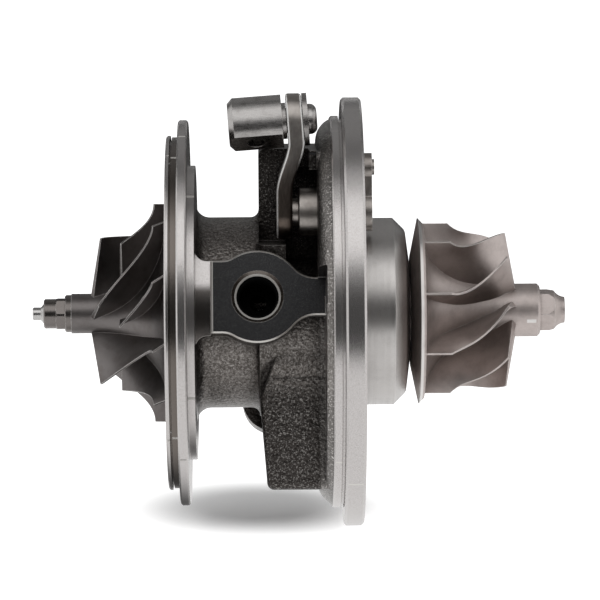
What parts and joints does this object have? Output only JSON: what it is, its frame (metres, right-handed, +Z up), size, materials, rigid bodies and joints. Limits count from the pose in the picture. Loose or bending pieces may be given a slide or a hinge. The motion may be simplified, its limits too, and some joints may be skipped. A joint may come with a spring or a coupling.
{
  "type": "turbocharger cartridge",
  "caption": "Turbocharger centre cartridge with compressor and turbine wheels, oil ports and a variable-nozzle lever.",
  "frame": {"origin": "on the shaft axis, in the turbine-side face of the turbine flange", "axes": "+X along the shaft towards the turbine wheel, +Z up, with the oil inlet facing -Y and leaning 13 degrees up"},
  "size_m": [0.1312, 0.1056, 0.1073],
  "materials": {
    "cast_iron": "rough sand casting with turned flanges",
    "heat_shield_steel": "pressed and lightly blasted",
    "machined_steel": "turned",
    "ring_steel": "spring steel",
    "bearing_bronze": "fine turned bronze",
    "shaft_steel": "ground",
    "nut_steel": "bright turned",
    "turbine_alloy": "investment cast with ground blade edges",
    "compressor_alloy": "cast with machined blade edges",
    "lever_steel": "blanked and turned",
    "rubber": "moulded"
  },
  "bodies": {
    "housing": {"bearing_housing": "cast_iron", "heat_shield": "heat_shield_steel", "seal_insert": "machined_steel", "insert_o_ring": "rubber", "insert_snap_ring": "ring_steel", "oil_deflector": "ring_steel", "thrust_bearing": "bearing_bronze", "bearing_stop_rings": "ring_steel", "compressor_piston_ring": "ring_steel", "turbine_piston_ring": "ring_steel", "spindle_bush": "machined_steel"},
    "rotor": {"rotor_shaft": "shaft_steel", "turbine_wheel": "turbine_alloy", "compressor_wheel": "compressor_alloy", "compressor_nut": "nut_steel", "thrust_collar": "shaft_steel", "oil_flinger": "shaft_steel"},
    "compressor_bush": {"compressor_journal_bush": "bearing_bronze"},
    "turbine_bush": {"turbine_journal_bush": "bearing_bronze"},
    "vane_lever": {"lever_spindle": "lever_steel", "outer_lever": "lever_steel", "inner_lever": "lever_steel", "drive_pin": "lever_steel"},
    "trunnion": {"trunnion_pin": "lever_steel", "trunnion_washer": "lever_steel"}
  },
  "joints": [
    {"name": "rotor_spin", "type": "hinge", "parent": "housing", "child": "rotor", "pos_m": [0, 0, 0], "axis": [1, 0, 0], "continuous": true},
    {"name": "compressor_bush_spin", "type": "hinge", "parent": "housing", "child": "compressor_bush", "pos_m": [0, 0, 0], "axis": [1, 0, 0], "continuous": true},
    {"name": "turbine_bush_spin", "type": "hinge", "parent": "housing", "child": "turbine_bush", "pos_m": [0, 0, 0], "axis": [1, 0, 0], "continuous": true},
    {"name": "lever_swing", "type": "hinge", "parent": "housing", "child": "vane_lever", "pos_m": [0, -0.015, 0.0256], "axis": [1, 0, 0], "range_deg": [-12, 36]},
    {"name": "trunnion_swivel", "type": "hinge", "parent": "vane_lever", "child": "trunnion", "pos_m": [-0.01626, -0.015, 0.0479], "axis": [0.9976, 0, 0.0698], "continuous": true}
  ]
}
